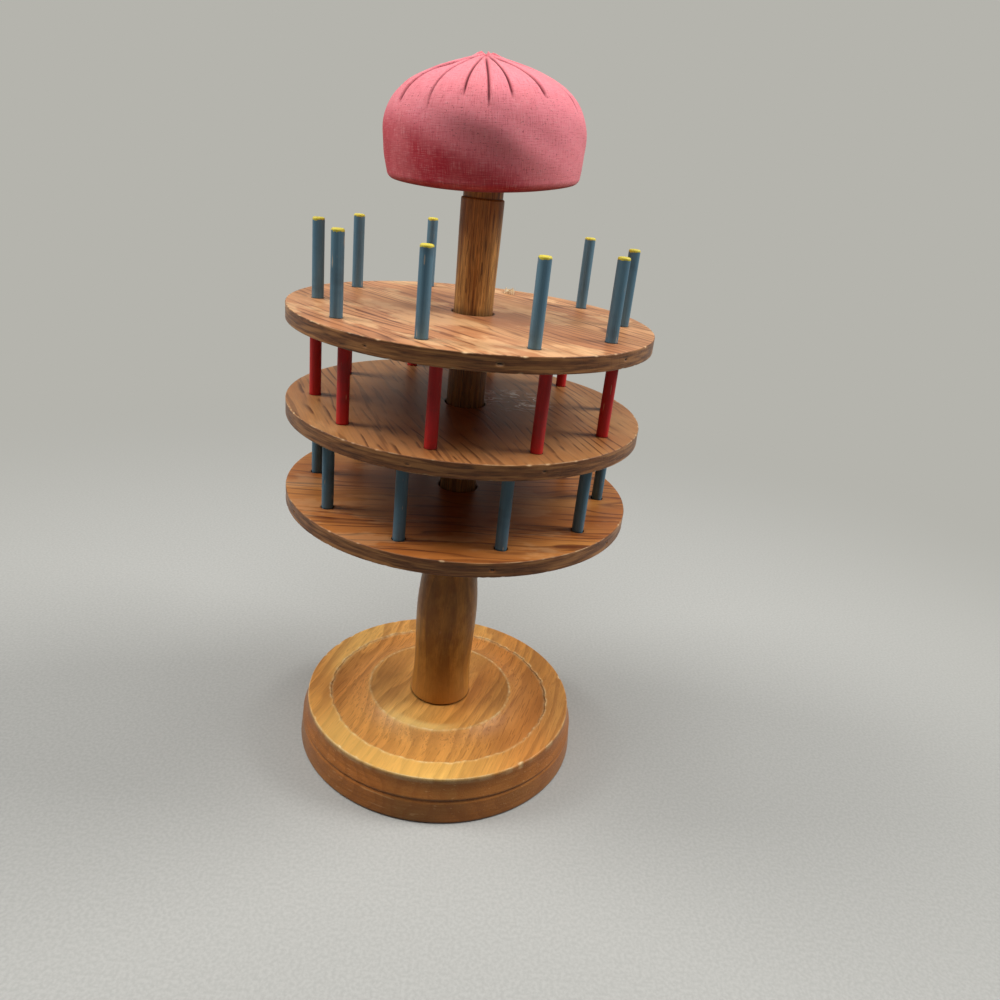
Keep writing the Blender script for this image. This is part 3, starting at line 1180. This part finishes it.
def make_splinters(wood):
    """Broken fibres on the stump: thin three-sided slivers that lean out of the peg's end."""
    count = 36
    random = np.random.default_rng(4)
    x, y, _ = np.mean(box("top_peg_stub"), axis=0)
    spread = PEG_RADIUS * np.sqrt(random.uniform(0, 1, count))
    root = turned(spread, DISC_TOP["top"] - 0.3 * MM, random.uniform(0, 2 * np.pi, count)) + [x, y, 0]
    rise = random.uniform(1.6, 3.9, count) * MM
    lean = random.normal(0, 0.75 * MM, (count, 2))
    tip = root + np.column_stack([lean, rise])
    thick = random.uniform(0.28, 0.6, count) * MM
    feet = root[:, None, :] + thick[:, None, None] * turned(1.0, 0.0, np.radians([0, 120, 240]))
    points = np.concatenate([feet, tip[:, None, :]], axis=1)
    pattern = np.array([[0, 1, 3], [1, 2, 3], [2, 0, 3], [0, 2, 1]])
    faces = (np.arange(count)[:, None, None] * 4 + pattern).reshape(-1, 3)
    made = put_mesh("peg_splinters", points, faces.tolist(), wood)
    made.data.polygons.foreach_set("use_smooth", np.zeros(len(made.data.polygons), bool))
    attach(made, "top_tier")


# Camera, floor and light


BACKDROP = linear(181, 180, 173)
SENSOR = 36.0


def set_camera():
    """The photograph's viewpoint, found from the rims of the three tiers and the rings of the base."""
    distance, height, focal_share = 340.63 * MM, 275.79 * MM, 0.79236
    yaw, pitch, roll = 0.05947, 0.40071, 0.11131
    forward = Vector((math.sin(yaw) * math.cos(pitch), math.cos(yaw) * math.cos(pitch), -math.sin(pitch)))
    level = Vector((math.cos(yaw), -math.sin(yaw), 0))
    upright = level.cross(forward)
    right = math.cos(roll) * level + math.sin(roll) * upright
    above = -math.sin(roll) * level + math.cos(roll) * upright
    camera = bpy.data.cameras.new("photo camera")
    camera.sensor_width = SENSOR
    camera.lens = SENSOR * focal_share
    camera.clip_start = 0.01
    seen = bpy.data.objects.new("photo camera", camera)
    bpy.context.scene.collection.objects.link(seen)
    turn = Matrix((right, above, -forward)).transposed().to_4x4()
    seen.matrix_world = Matrix.Translation((0, -distance, height)) @ turn
    bpy.context.scene.camera = seen


def seen_rays(tree):
    """1 for the rays that show a background: camera, glossy and transmission rays."""
    path = tree.nodes.new("ShaderNodeLightPath").outputs
    return most(*(Flow(tree, path[f"Is {kind} Ray"]) for kind in ("Camera", "Glossy", "Transmission")))


def set_stage():
    """A pale floor that sweeps up into a pale backdrop: a flat stretch, a quarter circle and a wall.

    Near the rack the floor is lit and takes its shadow. Further off it fades into the backdrop's own tone.
    """
    bend, front, back, wide, tall = 0.5, -1.6, 0.9, 3.0, 2.6
    a = np.radians(np.linspace(0, 90, 25))
    y = np.concatenate([[front, back], back + bend * np.sin(a[1:]), [back + bend]])
    z = np.concatenate([[0, 0], bend - bend * np.cos(a[1:]), [tall]])
    points = np.concatenate([np.stack([np.full(len(y), side * wide), y, z], axis=-1) for side in (-1, 1)])
    k, rows = np.arange(len(y) - 1), len(y)
    faces = np.stack([k, k + rows, k + rows + 1, k + 1], axis=-1)
    material, shader, here = finish("pale floor", Roughness=0.85, Specular_IOR_Level=0.2)
    tree = here.tree
    x, y, _ = parts(here)
    seen = seen_rays(tree)
    mottle = ease(noise(here, 700.0, 2.0, 0.6), 0.3, 0.7)
    shown = coats(linear(176, 177, 174), (mottle, linear(186, 187, 184)))
    feed(shader, {"Base Color": coats(linear(98, 97, 94), (seen, shown))})
    far = ease(apart(x, y), 0.20, 0.65) * seen
    glow = wire(tree, "ShaderNodeEmission", {"Color": BACKDROP, "Strength": 1.0})
    both = wire(tree, "ShaderNodeMixShader", {0: far, 1: Flow(tree, shader.outputs[0]), 2: glow})
    feed(tree.nodes["Material Output"], {"Surface": both})
    floor = put_mesh("floor", points, faces.tolist(), material)


def set_lamp(name, place, width, length, power, colour):
    """A soft rectangular lamp that faces the middle of the rack."""
    lamp = bpy.data.lights.new(name, "AREA")
    lamp.shape = "RECTANGLE"
    lamp.size, lamp.size_y = width, length
    lamp.energy = power
    lamp.color = colour
    held = bpy.data.objects.new(name, lamp)
    bpy.context.scene.collection.objects.link(held)
    aim = (Vector((0, 0, 0.16)) - Vector(place)).to_track_quat("-Z", "Y").to_matrix().to_4x4()
    held.matrix_world = Matrix.Translation(place) @ aim


def set_light():
    """A long soft lamp at each side of the rack, a weak panel above it and a dim even sky."""
    set_lamp("left window", (-0.88, 0.05, 1.00), 0.5, 0.6, 9.0, (1.0, 0.98, 0.95))
    set_lamp("right window", (0.88, 0.08, 0.98), 0.5, 0.6, 10.5, (1.0, 0.98, 0.95))
    set_lamp("panel above", (-0.05, -0.28, 1.25), 0.8, 0.8, 7.5, (1.0, 0.98, 0.96))
    world = bpy.data.worlds.new("studio")
    world.use_nodes = True
    tree = world.node_tree
    sky = tree.nodes["Background"]
    feed(sky, {"Color": (0.95, 0.97, 1.0, 1.0), "Strength": 0.03})
    behind = wire(tree, "ShaderNodeBackground", {"Color": BACKDROP, "Strength": 1.0})
    both = wire(tree, "ShaderNodeMixShader", {0: seen_rays(tree), 1: Flow(tree, sky.outputs[0]), 2: behind})
    feed(tree.nodes["World Output"], {"Surface": both})
    bpy.context.scene.world = world


# Dressing the solids


def dress(material, *nodes):
    """Gives solids a finish in place of their plain colour."""
    for name in nodes:
        NODES[name].material_slots[0].material = material


set_camera()
set_stage()
set_light()

for tier in reversed(TIERS):
    make_disc(tier)
make_base()
dress(column_wood(), "lower_column")
dress(spindle_wood(), "spindle", "cushion_stem")

BLUE, BLUE_THIN = linear(86, 124, 146), linear(108, 146, 164)
TOP_BLUE = peg_paint("top blue paint", BLUE, BLUE_THIN, linear(222, 206, 72), PEG_TOP - 1.1 * MM)
LOW_BLUE = peg_paint("lower blue paint", BLUE, BLUE_THIN)
RED = peg_paint("red paint", linear(200, 32, 38), linear(218, 58, 54))
for number in range(1, PEGS_PER_TIER + 1):
    dress(LOW_BLUE, f"bottom_peg_{number}")
    dress(RED, f"middle_peg_{number}")
    if f"top_peg_{number}" in NODES:
        dress(TOP_BLUE, f"top_peg_{number}")

CLOTH = cushion_cloth()
make_cushion()
make_board()
SPLINTER_WOOD = raw_wood("splintered wood", linear(250, 236, 204), linear(216, 184, 138))
make_stump(SPLINTER_WOOD)
make_splinters(SPLINTER_WOOD)

bpy.context.scene.view_settings.view_transform = "Standard"
